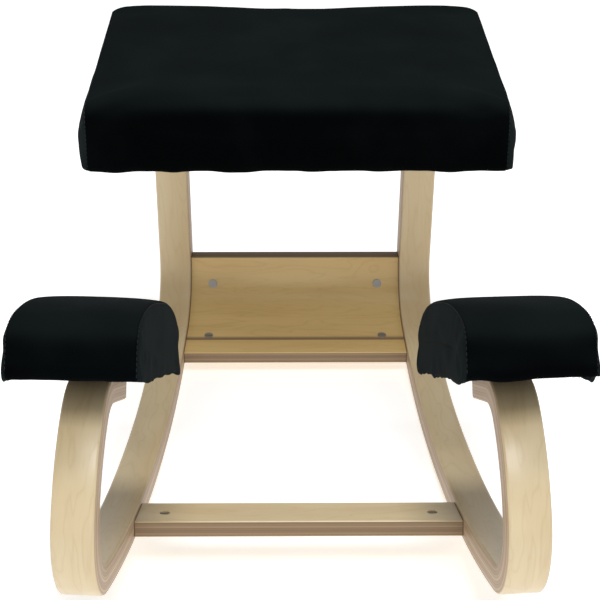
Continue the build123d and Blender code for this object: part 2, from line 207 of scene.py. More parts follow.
# %% Walk the runner's line
contact = ((0.0, runner_thickness / 2), 0.0)
front_points, station = [contact[0]], contact
for radius, angle in forward_arcs:
    points, station = arc_points(station, radius, angle)
    front_points += points
knee_end = station
front_points.append(step(*knee_end, knee_arm_length))

back_points, station = [], (contact[0], 180.0)
back_stations = []
for radius, angle in backward_arcs:
    points, station = arc_points(station, radius, angle)
    back_points += points
    back_stations.append(station)
tail_end, post_start = back_stations
post_end = (step(*post_start, post_length), post_start[1])
back_points.append(post_end[0])
points, seat_arm_start = arc_points(post_end, top_bend_radius, -(post_end[1] + seat_slope))
back_points += points + [step(*seat_arm_start, seat_arm_length)]
centreline = back_points[::-1] + front_points
print("runner line:", len(centreline), "points")


def runner_plane(side):
    """Matrix from (ahead, up, across) to the chair, for the right (1) or left (-1) runner."""
    along = Vector((side * sin(splay), -cos(splay), 0))
    outward = Vector((side * cos(splay), sin(splay), 0))
    inner = Vector((side * half_spacing, contact_y, 0))
    up = Vector((0, 0, 1))
    matrix = Matrix((along, up, along.cross(up))).transposed().to_4x4()
    matrix.translation = inner + outward * runner_width / 2
    return matrix


# %% [markdown]
# ## Sweeping the runners
# A lamination keeps one section along its whole length, so the runner is a rule, not a carving:
# a rounded rectangle carried along a curve. Geometry Nodes does that, with the section's sizes as
# named inputs, and one tree serves both runners.


# %% Geometry Nodes helpers
def new_tree(name, sizes):
    """An empty Geometry Nodes tree with a geometry input and named size inputs."""
    tree = bpy.data.node_groups.new(name, "GeometryNodeTree")
    tree.interface.new_socket("Geometry", in_out="INPUT", socket_type="NodeSocketGeometry")
    for label, kind in sizes.items():
        tree.interface.new_socket(label, in_out="INPUT", socket_type="NodeSocket" + kind)
    tree.interface.new_socket("Geometry", in_out="OUTPUT", socket_type="NodeSocketGeometry")
    given = tree.nodes.new("NodeGroupInput")
    start = Wire(tree)
    return start, {socket.name: Wire(tree, socket) for socket in given.outputs if socket.name}


def close_tree(start, shape, material):
    """End a tree the way an export needs it: real geometry with its material."""
    real = start.node("GeometryNodeRealizeInstances", {}, {"Geometry": shape})
    done = start.node("GeometryNodeSetMaterial", {}, {"Geometry": real, "Material": material})
    end = start.tree.nodes.new("NodeGroupOutput")
    start.tree.links.new(done.socket, end.inputs[0])
    return start.tree


def evaluated_mesh(item):
    """An object's mesh with its modifiers applied."""
    seen = item.evaluated_get(bpy.context.evaluated_depsgraph_get())
    return bpy.data.meshes.new_from_object(seen)


def grow(host, tree, values):
    """Run a tree on a mesh object and return the result as a plain mesh."""
    modifier = host.modifiers.new(tree.name, "NODES")
    modifier.node_group = tree
    for item in tree.interface.items_tree:
        if item.in_out == "INPUT" and item.name in values:
            modifier[item.identifier] = values[item.name]
    made = evaluated_mesh(host)
    bpy.data.objects.remove(host)
    return made


def place_object(name, mesh):
    """Put a mesh in the scene as an object at the origin."""
    item = bpy.data.objects.new(name, mesh)
    bpy.context.scene.collection.objects.link(item)
    return item


def chains_object(chains):
    """One object with an open chain of edges through each list of points."""
    points = [point[:] for chain in chains for point in chain]
    edges, first = [], 0
    for chain in chains:
        edges += [(first + index, first + index + 1) for index in range(len(chain) - 1)]
        first += len(chain)
    mesh = bpy.data.meshes.new("chains")
    mesh.from_pydata(points, edges, [])
    return place_object("chains", mesh)


print("geometry helpers ready")


# %% The lamination tree
edge_facets = 3
start, given = new_tree(
    "Bent lamination",
    {"Width": "Float", "Thickness": "Float", "Edge radius": "Float", "Material": "Material"},
)
path = start.node("GeometryNodeMeshToCurve", {}, {"Mesh": given["Geometry"]})
path = start.node("GeometryNodeSetCurveNormal", {"mode": "Z_UP"}, {"Curve": path})
section = start.node(
    "GeometryNodeCurvePrimitiveQuadrilateral",
    {},
    {"Width": given["Thickness"], "Height": given["Width"]},
)
section = start.node(
    "GeometryNodeFilletCurve",
    {"mode": "POLY"},
    {"Curve": section, "Radius": given["Edge radius"], "Count": edge_facets},
)
strip = start.node(
    "GeometryNodeCurveToMesh", {}, {"Curve": path, "Profile Curve": section, "Fill Caps": True}
)
lamination = close_tree(start, strip, given["Material"])
print("tree", lamination.name, "with", len(lamination.nodes), "nodes")

# %% [markdown]
# ## Where the bolts go through
# The bolts, dowels and barrel nuts are CAD parts and stay as they are. Each one's axis is read
# from its mesh, so the runners are bored exactly where the fasteners are.


# %% Read the fasteners' axes
def loose_parts(node):
    """The vertices of each separate solid of a CAD node."""
    copy = bmesh.new()
    copy.from_mesh(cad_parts[node].data)
    bmesh.ops.remove_doubles(copy, verts=copy.verts, dist=1e-6)
    left, groups = set(copy.verts), []
    while left:
        group, rim = set(), [left.pop()]
        while rim:
            vertex = rim.pop()
            group.add(vertex)
            near = [edge.other_vert(vertex) for edge in vertex.link_edges]
            rim += [other for other in near if other in left]
            left.difference_update(near)
        groups.append(np.array([vertex.co[:] for vertex in group]))
    copy.free()
    return groups


def long_axis(points, towards):
    """Middle and both ends of a slim part, the second end being the one that lies towards."""
    middle = (points.max(0) + points.min(0)) / 2
    spread = np.linalg.svd(points - points.mean(0), full_matrices=False)[2][0]
    if spread @ towards < 0:
        spread = -spread
    reach = (points - middle) @ spread
    return Vector(middle + spread * reach.min()), Vector(middle + spread * reach.max())


def bore(start_point, end_point, radius, facets=48):
    """A cylinder between two points, as a temporary cutter."""
    direction = end_point - start_point
    turn = direction.to_track_quat("Z", "Y").to_matrix().to_4x4()
    place = Matrix.Translation((start_point + end_point) / 2) @ turn
    sizes = {"radius1": radius, "radius2": radius, "depth": direction.length}
    cutter = bmesh.new()
    bmesh.ops.create_cone(cutter, cap_ends=True, segments=facets, matrix=place, **sizes)
    mesh = bpy.data.meshes.new("cutter")
    cutter.to_mesh(mesh)
    cutter.free()
    return place_object("cutter", mesh)


shank_hole = 0.0034
head_pocket = 0.0066
head_depth = 0.0041
dowel_hole = 0.0041
plain_bores = {"seat_bolts": shank_hole, "knee_bolts": shank_hole, "crossbar_dowels": dowel_hole}


def parts_on(node, side):
    """The separate solids of a CAD node that lie on one side of the chair."""
    return [points for points in loose_parts(node) if points[:, 0].mean() * side > 0]


def runner_bores(side):
    """Cutters for one runner: cross bolts with sunk heads, seat and knee bolts, dowel."""
    cutters = []
    outward, mostly_up = np.array([side, 0.0, 0.0]), np.array([side, 0.0, 3.0])
    for node in ("brace_bolts", "crossbar_bolts"):
        for points in parts_on(node, side):
            inner, outer = long_axis(points, outward)
            head = (outer - inner).normalized() * head_depth
            cutters.append(bore(inner, outer, shank_hole))
            cutters.append(bore(outer - head, outer + head, head_pocket))
    for node, radius in plain_bores.items():
        for points in parts_on(node, side):
            cutters.append(bore(*long_axis(points, mostly_up), radius))
    return cutters


def cut(item, cutters):
    """Take the cutters out of an object's mesh."""
    for cutter in cutters:
        modifier = item.modifiers.new("bore", "BOOLEAN")
        modifier.operation, modifier.solver, modifier.object = "DIFFERENCE", "EXACT", cutter
    made = evaluated_mesh(item)
    item.modifiers.clear()
    item.data = made
    for cutter in cutters:
        bpy.data.objects.remove(cutter)


print("cross bolts:", len(loose_parts("brace_bolts") + loose_parts("crossbar_bolts")))


# %% [markdown]
# ## Grain that follows the bend
# Wood that has been bent keeps its grain and its glue lines parallel to the strip. Each vertex
# gets its place on the strip, as (along, across, through), in an attribute that the finish reads:
# the nearest stretch of the runner's line gives the first and the last, and the runner's own
# plane gives the middle one.


# %% Measure each vertex along the strip
def lay_grain(mesh, side):
    """Store every vertex's place along, across and through the strip."""
    local = runner_plane(side).inverted()
    points = np.array([(local @ vertex.co)[:] for vertex in mesh.vertices])
    line = np.array(centreline)
    runs = np.diff(line, axis=0)
    lengths = np.linalg.norm(runs, axis=1)
    starts = np.concatenate([[0], np.cumsum(lengths)])
    offset = points[:, None, :2] - line[None, :-1]
    share = np.clip((offset * runs).sum(2) / lengths**2, 0, 1)
    gap = offset - share[..., None] * runs
    nearest = np.linalg.norm(gap, axis=2).argmin(1)
    rows = np.arange(len(points))
    along = starts[nearest] + share[rows, nearest] * lengths[nearest]
    turn = runs[nearest] / lengths[nearest][:, None]
    through = turn[:, 0] * gap[rows, nearest, 1] - turn[:, 1] * gap[rows, nearest, 0]
    place = np.stack([along, points[:, 2], through], 1).astype(np.float32)
    mesh.attributes.new("grain", "FLOAT_VECTOR", "POINT").data.foreach_set("vector", place.ravel())
    return along.max()


line_length = np.linalg.norm(np.diff(np.array(centreline), axis=0), axis=1).sum()
print("grain runs over", round(float(line_length), 3), "m of line")


# %% [markdown]
# ## Birch
# Rotary-cut birch is pale and quiet: broad soft bands, thin growth lines that wander like
# contour lines, and very fine pores. The edge of the strip shows its plies, each a little
# different, with thin glue lines between. One function makes all the laminated wood; the place
# along, across and through the wood is what differs. A piece that butts against a runner also
# gets a thin painted shadow along the joint.

# %% Laminated wood
runner_plies = 9
birch_face = ((0.66, 0.54, 0.34, 1), (0.54, 0.40, 0.21, 1), (0.44, 0.30, 0.14, 1))
golden_face = ((0.68, 0.48, 0.20, 1), (0.56, 0.37, 0.13, 1), (0.42, 0.25, 0.08, 1))
open_plies = ((0.52, 0.38, 0.24, 1), (0.33, 0.21, 0.12, 1))
shaded_plies = ((0.30, 0.21, 0.12, 1), (0.19, 0.115, 0.055, 1))
glue_colour = (0.13, 0.07, 0.035, 1)
joint_shadow_colour = (0.05, 0.03, 0.015, 1)
joint_shadow = (0.0004, 0.0012)
face_starts, face_full = 0.0014, 0.0006


def painted_joint_shadow(start):
    """1 in the thin shadow where a cross member butts against a runner's inner face."""
    x, y, _ = object_place(start)
    inside = (half_spacing - abs(x)) * cos(splay) + (contact_y - y) * sin(splay)
    return 1 - inside.step_up(*joint_shadow)


def laminated_wood(
    name,
    place,
    thickness,
    plies,
    faces=birch_face,
    edges=open_plies,
    seed=0.0,
    butted=False,
):
    """Birch lamination; place gives a wire for along, across and through the wood."""
    material, start, plug = new_finish(name, Coat_Roughness=0.25, Specular_IOR_Level=0.45)
    along, across, through = place(start)
    pale, warm, ring = faces
    broad = noise_at(along * 4.0 + seed, across * 22.0, through * 10.0)
    figure = noise_at(along * 5.0 + seed, across * 24.0 + 3.0, through * 14.0, 3.0, 0.5)
    growth = ((figure * 13.0).math("PINGPONG", 0.5) * 2.0) ** 5.0
    pores = noise_at(along * 90.0, across * 2200.0, through * 2200.0, 1.0)
    face = (broad.step_up(0.3, 0.75) * 0.75).mix(pale, warm)
    face = (growth * 0.22).mix(face, ring)
    face = (pores.step_up(0.5, 0.8) * 0.12).mix(face, ring)

    layer = through * (plies / thickness) + plies / 2
    in_layer = abs(layer.math("FRACT") - 0.5)
    number = {"W": layer.math("FLOOR")}
    tone = start.node("ShaderNodeTexWhiteNoise", {"noise_dimensions": "1D"}, number)
    streak = noise_at(along * 26.0 + seed, through * 900.0, across * 12.0, 2.0)
    edge = (tone * 0.7 + streak * 0.3).mix(*edges)
    edge = (in_layer.step_up(0.40, 0.48) * (streak * 0.5 + 0.40)).mix(edge, glue_colour)

    surface = thickness / 2
    cut_face = 1 - abs(through).step_up(surface - face_starts, surface - face_full)
    colour = cut_face.mix(face, edge)
    # Painted shadow: a dark line where the piece butts against a runner's inner face.
    if butted:
        colour = (painted_joint_shadow(start) * 0.85).mix(colour, joint_shadow_colour)
    plug(
        Base_Color=colour,
        Roughness=cut_face * 0.16 + pores * 0.10 + 0.30,
        Coat_Weight=0.22 - cut_face * 0.18,
        Normal=pores.bump(0.25, 0.0002),
    )
    return material


def strip_place(start):
    """Along, across and through a runner, from its grain attribute."""
    return start.node("ShaderNodeAttribute", {"attribute_name": "grain"}, {}, "Vector").parts()


runner_wood = laminated_wood("runner birch", strip_place, runner_thickness, runner_plies)
print(runner_wood.name, "has", runner_plies, "plies")

# %% Make both runners
sharp_angle = radians(35)
for side, name in ((1, "runner_right"), (-1, "runner_left")):
    host = chains_object([[(ahead, up, 0) for ahead, up in centreline]])
    sizes = {"Width": runner_width, "Thickness": runner_thickness, "Edge radius": runner_edge}
    mesh = grow(host, lamination, {**sizes, "Material": runner_wood})
    mesh.transform(runner_plane(side))
    runner = place_object("bent_" + name, mesh)
    cut(runner, runner_bores(side))
    length = lay_grain(runner.data, side)
    runner.data.shade_smooth()
    runner.data.set_sharp_from_angle(angle=sharp_angle)
    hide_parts(name)
    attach(runner, "root")
    print(name, "is", round(length, 3), "m long,", len(runner.data.polygons), "faces")

# %% [markdown]
# ## Brace and crossbar
# Both are CAD parts with the right shape, so they keep their meshes and get a finish. The brace
# follows the runners, round their rear bend and on along the rocker's tail. Both are arcs, and
# distance from an arc's axis is the way through the brace's plies.

# %% Finish the brace
brace_thickness = 0.016
brace_plies = 7
bend_radius = backward_arcs[1][0]


def arc_centre(station, radius):
    """Centre of an arc that starts at a station and turns right, as the chair's y and z."""
    ahead, up = step(*station, 0.0, -radius)
    return contact_y - ahead * cos(splay), up


bend_centre = arc_centre(tail_end, bend_radius)
tail_centre = arc_centre((contact[0], 180.0), tail_radius)


def brace_place(start):
    """Along the chair's width, up the brace, and through it."""
    x, y, z = object_place(start)
    depths = []
    for centre, radius in ((bend_centre, bend_radius), (tail_centre, tail_radius)):
        across, up = y - centre[0], z - centre[1]
        depths.append((across * across + up * up) ** 0.5 - radius)
    on_bend = y.math("GREATER_THAN", bend_centre[0])
    through = on_bend * depths[0] + (1 - on_bend) * depths[1]
    return x, z + y, through


brace_wood = laminated_wood(
    "brace birch",
    brace_place,
    brace_thickness,
    brace_plies,
    faces=golden_face,
    edges=shaded_plies,
    seed=4.0,
    butted=True,
)
print("brace bends round", [round(value, 4) for value in bend_centre])

# %% Finish the crossbar
crossbar_along = 0.210
crossbar_heading = radians(forward_arcs[0][1]) + crossbar_along / forward_arcs[1][0]
crossbar_thickness = 0.016
crossbar_plies = 7
low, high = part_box("front_crossbar")
crossbar_middle = (low + high) / 2


def crossbar_place(start):
    """Along the chair's width, over the bar's depth, and through it."""
    x, y, z = object_place(start)
    back, up = y - crossbar_middle.y, z - crossbar_middle.z
    across = back * cos(crossbar_heading) - up * sin(crossbar_heading)
    through = back * sin(crossbar_heading) + up * cos(crossbar_heading)
    return x, across, through


crossbar_wood = laminated_wood(
    "crossbar birch",
    crossbar_place,
    crossbar_thickness,
    crossbar_plies,
    edges=shaded_plies,
    seed=9.0,
    butted=True,
)


def refinish(material, *nodes):
    """Give CAD parts a finish."""
    for node in nodes:
        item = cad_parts[node]
        for slot in item.material_slots:
            slot.material = material


refinish(brace_wood, "back_brace")
refinish(crossbar_wood, "front_crossbar")
print("crossbar lies", round(crossbar_middle.z, 4), "m up")

# %% [markdown]
# ## Steel
# Barrel nuts, bolts and washers are zinc plated: bright, a little cloudy, and finely scratched.

# %% Zinc plated steel
zinc, start, plug = new_finish("zinc plated steel", Metallic=1.0)
x, y, z = object_place(start)
cloud = noise_at(x * 700.0, y * 700.0, z * 700.0)
scratch = noise_at(x * 9000.0, y * 700.0, z * 700.0)
plug(
    Base_Color=cloud.mix((0.50, 0.49, 0.47, 1), (0.34, 0.33, 0.31, 1)),
    Roughness=cloud * 0.18 + 0.28,
    Normal=scratch.bump(0.2, 0.0001),
)
steel_nodes = [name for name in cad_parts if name.endswith(("nuts", "bolts", "washers"))]
refinish(zinc, *steel_nodes)
print(len(steel_nodes), "steel nodes")

# %% [markdown]
# ## Black velour
# Short pile drinks light from straight on and catches it at a glance, so it is almost black with
# a sheen. The pile lies a little differently on each panel, and a few specks of lint cling to it.


# %% Velour, lining and board finishes
dot_rate = 1800.0
board_thickness = 0.012
board_plies = 5


def velour():
    """Black pile fabric, painted lighter where it faces up; the attribute nap is 1 where the pile
    lies the other way.
    """
    material, start, plug = new_finish(
        "black velour",
        Sheen_Weight=0.008,
        Sheen_Roughness=0.5,
        Sheen_Tint=(0.42, 0.55, 0.55, 1),
        Specular_IOR_Level=0.015,
    )
    x, y, z = object_place(start)
    painted_top_light = start.node("ShaderNodeNewGeometry", {}, {}, "Normal").parts()[2]
    nap = start.node("ShaderNodeAttribute", {"attribute_name": "nap"}, {}, "Fac")
    brushed = noise_at(x * 14.0, y * 14.0, z * 14.0, 2.0)
    pile = noise_at(x * 1400.0, y * 1400.0, z * 1400.0, 1.0)
    # Painted light: faces that point up get a lighter colour, as light from above would give them.
    laid = painted_top_light.step_up(0.30, 0.95) * 0.45 + nap * 0.75
    tone = laid * (brushed * 0.6 + 0.7) + pile * 0.10 + brushed.step_up(0.4, 0.7) * 0.08
    colour = tone.mix((0.0003, 0.0005, 0.0007, 1), (0.0085, 0.0125, 0.0130, 1))
    cells = {"Vector": start.node("ShaderNodeTexCoord", {}, {}, "Object"), "Scale": 60.0}
    speck = start.node("ShaderNodeTexVoronoi", {}, cells, "Distance")
    chosen = start.node("ShaderNodeTexVoronoi", {}, cells, "Color").parts()[0]
    lint = (1 - speck.step_up(0.018, 0.035)) * chosen.step_up(0.90, 0.92)
    plug(
        Base_Color=(lint * 0.3).mix(colour, (0.10, 0.12, 0.12, 1)),
        Roughness=pile * 0.15 + 0.80,
        Normal=pile.bump(0.5, 0.0004),
    )
    return material


def spunbond():
    """Thin black non-woven lining with its pressed dots."""
    material, start, plug = new_finish("spunbond lining", Specular_IOR_Level=0.3)
    x, y, z = object_place(start)
    dots = (x * dot_rate).math("SINE") * ((y + z) * dot_rate).math("SINE")
    dots = dots.step_up(0.2, 0.6)
    plug(
        Base_Color=dots.mix((0.022, 0.022, 0.022, 1), (0.010, 0.010, 0.010, 1)),
        Roughness=0.85 - dots * 0.25,
        Normal=dots.bump(0.6, -0.0002),
    )
    return material


velour_finish = velour()
lining_finish = spunbond()
refinish(lining_finish, "seat_underside_cloth", "right_knee_cloth", "left_knee_cloth")


def level_place(start):
    """Plies of a board that lies close to level."""
    x, y, z = object_place(start)
    return x, y, z - board_middle


low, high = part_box("seat_board")
board_middle = (low.z + high.z) / 2
board_wood = laminated_wood("board birch", level_place, board_thickness, board_plies, seed=2.0)
refinish(board_wood, "seat_board", "right_knee_board", "left_knee_board", "crossbar_dowels")
print("finishes:", velour_finish.name, "and", lining_finish.name, "and", board_wood.name)

# %% [markdown]
# ## Cushions
# Seat and knee rests are made alike: foam on a board, a long panel of fabric over the top from
# front to back, and an end panel sewn to it at each side. Here a profile is swept across and
# closed with end panels, all in even quads, and then blown up a little by a cloth simulation that
# holds the seams and the underside still, so that the panels swell between their seams.
#
# Towards its sides a cushion gets lower and shorter. Each pair of rounds says how far in from the
# side that starts, first for the height and then for the length. A crown lists points of a knee
# rest's top, as shares of its length and its height.

# %% Cushion sizes
fabric_step = 0.0065
hem_height = 0.0009
hem_round = 0.003
seam_depth = 0.0009
seam_lip = 0.0011
seam_room = 0.0020
end_rings = 6
end_dome = 0.002
weld = 0.0004
seat_width = 0.434
seat_depth = 0.320
seat_height = 0.076
seat_front = 0.173
seat_front_round, seat_back_round = 0.020, 0.012
seat_rounds = (0.022, 0.012)
seat_seam = 0.007
pad_width = 0.117
pad_length = 0.262
pad_height = 0.067
pad_side_height = 0.032
pad_front = 0.112
pad_rounds = (0.010, 0.006)
pad_seam = 0.004
pad_crown = ((0.10, 0.82), (0.46, 1.0), (0.87, 0.86))
swell = 0.0015
print("seat", seat_width, "x", seat_depth, "m, knee rests", pad_width, "x", pad_length, "m")


# %% Profiles of the cushions
def even_loop(points, spacing):
    """A closed loop resampled to even steps."""
    ring = np.array(points + [points[0]])
    lengths = np.linalg.norm(np.diff(ring, axis=0), axis=1)
    travel = np.concatenate([[0], np.cumsum(lengths)])
    count = 2 * round(travel[-1] / spacing / 2)
    stops = np.linspace(0, travel[-1], count, endpoint=False)
    return np.stack([np.interp(stops, travel, ring[:, axis]) for axis in (0, 1)], 1)


def round_corner(corner, radius, first, last, count=9):
    """Points on a quarter round inside a square corner, between two angles in degrees."""
    turns = np.radians(np.linspace(first, last, count))
    middle_x = corner[0] - radius * np.sign(cos(turns[0]) + cos(turns[-1]))
    middle_y = corner[1] - radius * np.sign(sin(turns[0]) + sin(turns[-1]))
    return [(middle_x + radius * cos(turn), middle_y + radius * sin(turn)) for turn in turns]


def clamped_spline(points, count):
    """A smooth curve through points that leaves upwards and arrives downwards."""
    points = np.array(points)
    spans = np.linalg.norm(np.diff(points, axis=0), axis=1)
    total = len(points)
    system, wanted = np.zeros((total, total)), np.zeros((total, 2))
    system[0, 0] = system[-1, -1] = 1
    wanted[0], wanted[-1] = (0, 1), (0, -1)
    for index in range(1, total - 1):
        before, after = spans[index - 1], spans[index]
        system[index, index - 1 : index + 2] = after, 2 * (before + after), before
        rise = (points[index] - points[index - 1]) * after / before
        run = (points[index + 1] - points[index]) * before / after
        wanted[index] = 3 * (rise + run)
    slopes = np.linalg.solve(system, wanted)
    curve = []
    for index, span in enumerate(spans):
        for part in np.linspace(0, 1, count, endpoint=index == total - 2):
            start_share = 2 * part**3 - 3 * part**2 + 1
            end_share = 3 * part**2 - 2 * part**3
            pull = span * (part**3 - 2 * part**2 + part) * slopes[index]
            push = span * (part**3 - part**2) * slopes[index + 1]
            chord = start_share * points[index] + end_share * points[index + 1]
            curve.append(tuple(chord + pull + push))
    return curve


def seat_profile():
    """The seat from the side, as (forward, up) in the seat's own frame."""
    back = seat_front - seat_depth + swell
    front, top = seat_front - swell, seat_height - swell
    return (
        round_corner((front, hem_height), hem_round, -90, 0)
        + round_corner((front, top), seat_front_round, 0, 90)
        + round_corner((back, top), seat_back_round, 90, 180)
        + round_corner((back, hem_height), hem_round, 180, 270)
    )


def pad_profile():
    """A knee rest from the side, higher over the middle, as (forward, up)."""
    front, back = pad_front - swell, pad_front - pad_length + swell
    top = pad_height - swell
    crown = [(back + (front - back) * share, top * rise) for share, rise in pad_crown]
    curve = clamped_spline([(back, pad_side_height), *crown, (front, pad_side_height)], 24)
    return (
        round_corner((front, hem_height), hem_round, -90, 0)
        + curve[::-1]
        + round_corner((back, hem_height), hem_round, 180, 270)
    )


print("profiles:", len(seat_profile()), "points for the seat,", len(pad_profile()), "for a knee rest")


# %% Sew a cushion shell
def quarter(travel, radius):
    """How far a quarter round of a radius has fallen after some travel into it."""
    share = min(1.0, max(0.0, travel / radius))
    return radius * (1 - (1 - share * share) ** 0.5)


def cushion_rows(half_width, end_round, corner_round, seam_inset):
    """Stations across: (across, drop of the top, pull of the ends, is it on an end panel)."""
    flat = half_width - end_round
    count = 2 * round(flat / fabric_step)
    seam = half_width - seam_inset
    bend = [flat + end_round * sin(radians(turn)) for turn in (18, 36, 52, 66, 78, 90)]
    bend = [across for across in bend if abs(across - seam) > seam_room]
    rows = [(across, 0.0, 0.0, False) for across in np.linspace(-flat, flat, count)]
    ends = []
    for across in sorted(bend + [seam - seam_lip, seam, seam + seam_lip]):
        groove = seam_depth if across == seam else 0.0
        drop = quarter(across - flat, end_round) + groove
        pull = quarter(across - half_width + corner_round, corner_round) + groove
        ends.append((across, drop, pull, across > seam))
    left = [(-across, drop, pull, on_end) for across, drop, pull, on_end in reversed(ends)]
    return left + rows + ends


def cushion_shell(profile, half_width, rounds, seam_inset):
    """Closed quad mesh of a cushion in its own frame: x forward, y across, z up."""
    loop = even_loop(profile, fabric_step)
    low, high = loop.min(0), loop.max(0)
    middle, spread = (low[0] + high[0]) / 2, (high[0] - low[0]) / 2
    tall = high[1] - low[1]
    rings, nap, sewn = [], [], []
    for across, drop, pull, on_end in cushion_rows(half_width, *rounds, seam_inset):
        forward = middle + (loop[:, 0] - middle) * (1 - pull / spread)
        up = low[1] + (loop[:, 1] - low[1]) * (1 - drop / tall)
        rings.append(np.stack([forward, np.full(len(loop), across), up], 1))
        nap.append(float(on_end))
        sewn.append(float(abs(abs(across) - half_width + seam_inset) < 1e-6))
    rim = rings[-1][:, (0, 2)]
    reach = (rim[:, 1].max() - low[1]) / 2
    spine = np.clip(rim[:, 0], rim[:, 0].min() + reach, rim[:, 0].max() - reach)
    inward = np.stack([spine, np.full(len(loop), low[1] + reach)], 1) - rim
    for index in range(1, end_rings + 1):
        share = index / end_rings
        ring = rim + inward * share
        rise = half_width + end_dome * (1 - (1 - share) ** 2)
        rings.append(np.insert(ring, 1, rise, axis=1))
        rings.insert(0, np.insert(ring, 1, -rise, axis=1))
        nap.append(1.0)
        nap.insert(0, 1.0)
    sewn = [0.0] * end_rings + sewn + [0.0] * end_rings
    size = len(loop)
    # Making a layer moves the ones before it, so both are looked up once both are there.
    shell = bmesh.new()
    shell.verts.layers.float.new("nap")
    shell.verts.layers.float.new("sewn")
    marks, seams = shell.verts.layers.float["nap"], shell.verts.layers.float["sewn"]
    layers = [[shell.verts.new(point) for point in ring] for ring in rings]
    for first, second in zip(layers, layers[1:]):
        for index in range(size):
            after = (index + 1) % size
            shell.faces.new((first[index], first[after], second[after], second[index]))
    for layer, on_end, on_seam in zip(layers, nap, sewn):
        for vertex in layer:
            vertex[marks], vertex[seams] = on_end, on_seam
    bmesh.ops.remove_doubles(shell, verts=layers[0] + layers[-1], dist=weld)
    bmesh.ops.recalc_face_normals(shell, faces=shell.faces)
    bmesh.ops.holes_fill(shell, edges=[edge for edge in shell.edges if edge.is_boundary])
    if shell.calc_volume(signed=True) < 0:
        bmesh.ops.reverse_faces(shell, faces=shell.faces)
    mesh = bpy.data.meshes.new("cushion")
    shell.to_mesh(mesh)
    shell.free()
    return mesh


print("rows across:", len(cushion_rows(seat_width / 2, *seat_rounds, seat_seam)), "on the seat")

# %% [markdown]
# The simulation is short: twenty frames, no gravity, and air pressure inside. Points on the
# underside and on the two seams are pinned. How far a point may move is capped afterwards, which
# keeps the cushion in the space that its foam takes up. Then the hem, which is folded under and
# stapled, sags into small folds, and the rest gets the slight unevenness of fabric pulled by hand.

# %% Blow up a cushion
cloth_frames = 20
air_pressure = 4.0
pinned_height = 0.004
pinned_beside_seam = 0.0008
hem_band = 0.018
hem_reach = 0.016
fold_rate, crease_rate, dent_rate = 36, 95, 13
dent_depth = 0.0008
seam_foot = 0.005


def blow_up(item, seam, cap):
    """Swell the panels between their pinned seams."""
    rest = np.array([vertex.co[:] for vertex in item.data.vertices])
    pins = item.vertex_groups.new(name="pins")
    for index, (forward, across, up) in enumerate(rest):
        beside_seam = abs(abs(across) - seam) < pinned_beside_seam
        if beside_seam or up < hem_height + pinned_height:
            pins.add([index], 1.0, "REPLACE")
    cloth = item.modifiers.new("cloth", "CLOTH")
    settings = cloth.settings
    settings.quality = 5
    settings.mass = 0.2
    settings.tension_stiffness = settings.compression_stiffness = 12
    settings.bending_stiffness = 1.5
    settings.use_pressure = True
    settings.uniform_pressure_force = air_pressure
    settings.vertex_group_mass = "pins"
    settings.effector_weights.gravity = 0
    cloth.point_cache.frame_start, cloth.point_cache.frame_end = 1, cloth_frames
    for moment in range(1, cloth_frames + 1):
        bpy.context.scene.frame_set(moment)
    shape = item.evaluated_get(bpy.context.evaluated_depsgraph_get()).to_mesh()
    moved = np.array([vertex.co[:] for vertex in shape.vertices]) - rest
    item.modifiers.clear()
    bpy.context.scene.frame_set(1)
    far = np.linalg.norm(moved, axis=1)
    print(item.name, "swelled", round(far.max() * 1000, 1), "mm before the cap")
    kept = rest + moved * (cap * np.tanh(far / cap) / np.maximum(far, 1e-9))[:, None]
    item.data.vertices.foreach_set("co", kept.astype(np.float32).ravel())


def pucker(item, hem_wave, seed):
    """Folds that sag along the stapled hem and small unevenness of hand-pulled fabric."""
    points = np.array([vertex.co[:] for vertex in item.data.vertices])
    low, high = points.min(0), points.max(0)
    for vertex in item.data.vertices:
        forward, across, up = vertex.co
        to_edge = min(forward - low[0], high[0] - forward, across - low[1], high[1] - across)
        near_hem = max(0.0, 1 - up / hem_band) * max(0.0, 1 - to_edge / hem_reach)
        fold = noise.noise(Vector((forward * fold_rate, across * fold_rate, seed)))
        crease = noise.noise(Vector((forward * crease_rate, across * crease_rate, seed + 20)))
        dent = noise.noise(Vector((forward * dent_rate, across * dent_rate, up * 20 + seed)))
        vertex.co += vertex.normal * (dent_depth * dent * (1 - near_hem))
        sag = hem_wave * near_hem * (0.35 + max(0.0, fold) * 2.2 + max(0.0, crease) * 0.8)
        vertex.co.z -= sag
        vertex.co += vertex.normal * sag * 0.5


def soften(item):
    """One level of subdivision, applied."""
    rounding = item.modifiers.new("rounding", "SUBSURF")
    rounding.levels = rounding.render_levels = 1
    made = evaluated_mesh(item)
    item.modifiers.clear()
    item.data = made
    made.shade_smooth()


def seam_path(item, side):
    """Points along one seam, from the front hem over the top to the back hem."""
    sewn = item.data.attributes["sewn"].data
    points = [vertex.co.copy() for vertex in item.data.vertices if sewn[vertex.index].value > 0.99]
    points = [point for point in points if point.y * side > 0 and point.z > seam_foot]
    middle = sum(point.x for point in points) / len(points)
    return sorted(points, key=lambda point: atan2(point.z, point.x - middle))


print("pressure", air_pressure, "over", cloth_frames, "frames")


# %% Frames of the seat and the knee rests
seat_station = step(*seat_arm_start, 0.0, runner_thickness / 2)
knee_station = step(*knee_end, 0.0, -runner_thickness / 2)


def frame_matrix(origin, forward, up):
    """Matrix with x forward, z up and y across."""
    matrix = Matrix((forward, up.cross(forward), up)).transposed().to_4x4()
    matrix.translation = origin
    return matrix


def seat_matrix():
    """The seat's frame, on top of both seat arms."""
    turn = radians(seat_arm_start[1])
    origin = Vector((0, contact_y - seat_station[0] * cos(splay), seat_station[1]))
    forward, up = Vector((0, -cos(turn), sin(turn))), Vector((0, sin(turn), cos(turn)))
    return frame_matrix(origin, forward, up)


